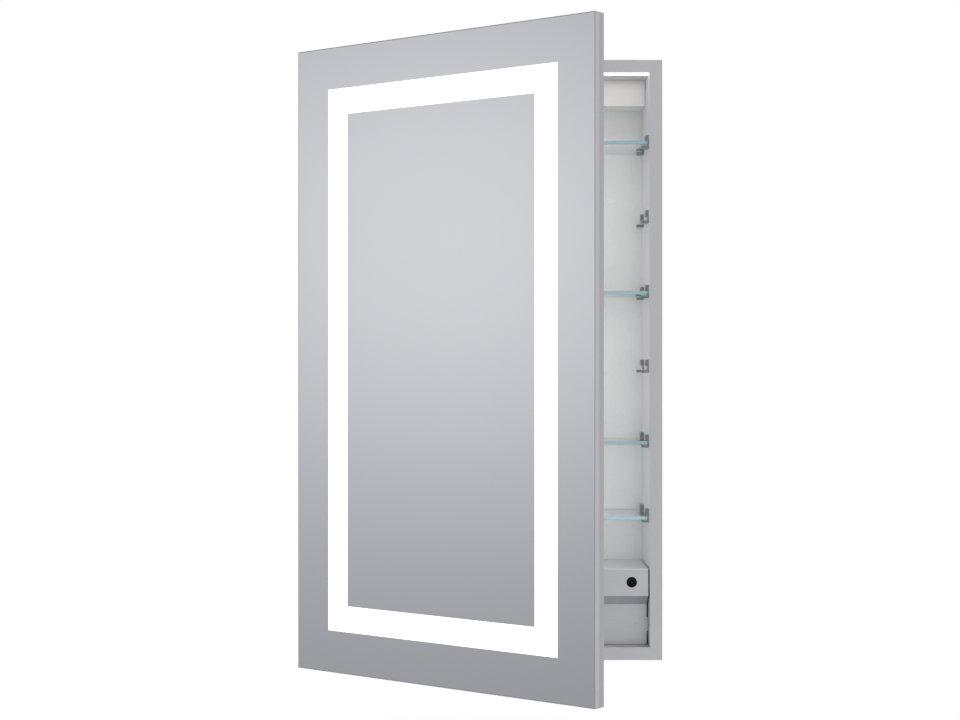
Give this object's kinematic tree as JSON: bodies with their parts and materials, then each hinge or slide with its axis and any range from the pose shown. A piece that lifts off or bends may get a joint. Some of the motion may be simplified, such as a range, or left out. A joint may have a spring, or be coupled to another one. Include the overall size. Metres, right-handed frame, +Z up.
{
  "type": "medicine cabinet with mirror",
  "caption": "Wall-hung medicine cabinet with a lit mirror door on a side hinge, clipped glass shelves, an interior light and an electrical box with a push button.",
  "frame": {"origin": "centre of the cabinet's flat back face, on the wall", "axes": "+Y into the wall, +Z up along the cabinet's height, +X to the right seen from the front"},
  "size_m": [0.603, 0.5407, 1.016],
  "materials": {
    "satin_aluminium": "fine satin anodised",
    "interior_aluminium": "satin sheet",
    "mirror_glass": "polished, with a frosted band",
    "shelf_glass": "clear with polished green-tinted edges",
    "chrome": "polished",
    "silicone": "translucent matte",
    "black_rubber": "matte",
    "white_diffuser": "translucent, lit from behind",
    "white_plastic": "semi-gloss moulded",
    "black_plastic": "gloss moulded",
    "circuit_board": "solder-masked board",
    "bright_steel": "zinc-plated",
    "clear_acrylic": "clear light guide",
    "heating_film": "amber film"
  },
  "bodies": {
    "cabinet": {"left_profile": "satin_aluminium", "right_profile": "satin_aluminium", "top_profile": "satin_aluminium", "bottom_profile": "satin_aluminium", "corner_keys": "bright_steel", "back_panel": "interior_aluminium", "back_panel_screws": "bright_steel", "mounting_plates": "bright_steel", "upper_rear_cover": "interior_aluminium", "shelf_top": "shelf_glass", "shelf_upper": "shelf_glass", "shelf_lower": "shelf_glass", "shelf_bottom": "shelf_glass", "shelf_clips_1": "chrome", "shelf_clips_2": "chrome", "shelf_clips_3": "chrome", "shelf_clips_4": "chrome", "shelf_clips_5": "chrome", "shelf_clips_6": "chrome", "clip_pads": "silicone", "light_housing": "satin_aluminium", "light_diffuser": "white_diffuser", "light_strip": "circuit_board", "light_end_caps": "white_plastic", "box_cover": "satin_aluminium", "box_base": "bright_steel", "box_ends": "black_plastic", "box_side_tabs": "satin_aluminium", "cover_screws": "bright_steel", "duplex_outlet": "white_plastic", "usb_module": "white_plastic", "led_driver": "white_plastic", "terminal_block": "white_plastic", "control_board": "circuit_board", "button_bezel": "black_plastic", "switch_body": "black_plastic", "button_spring": "bright_steel", "inlet_bushing": "black_rubber", "lead_grommet": "black_rubber", "hinge_leaf_body": "bright_steel", "hinge_pin": "bright_steel", "hinge_screws_body": "bright_steel"},
    "door": {"door_bar_left": "satin_aluminium", "door_bar_right": "satin_aluminium", "door_bar_top": "satin_aluminium", "door_bar_bottom": "satin_aluminium", "door_corner_keys": "bright_steel", "door_mirror": "mirror_glass", "door_led_strips": "circuit_board", "door_chassis": "interior_aluminium", "door_back_pan": "satin_aluminium", "door_lead_grommet": "black_rubber", "band_light_guide": "clear_acrylic", "defogger_pad": "heating_film", "pan_screws": "bright_steel", "inner_mirror": "mirror_glass", "bumpers": "silicone", "hinge_leaf_door": "bright_steel", "hinge_screws_door": "bright_steel"},
    "button": {"button_cap": "black_plastic"}
  },
  "joints": [
    {"name": "door_hinge", "type": "hinge", "parent": "cabinet", "child": "door", "pos_m": [-0.2905, -0.155, 0], "axis": [0, 0, -1], "range_deg": [-38.4, 66.6]},
    {"name": "button_press", "type": "slide", "parent": "cabinet", "child": "button", "axis": [0, 1, 0], "range_m": [0, 0.0015], "stiffness_N_per_m": 800, "springref_m": -0.001, "deforming": ["button_spring"]}
  ]
}
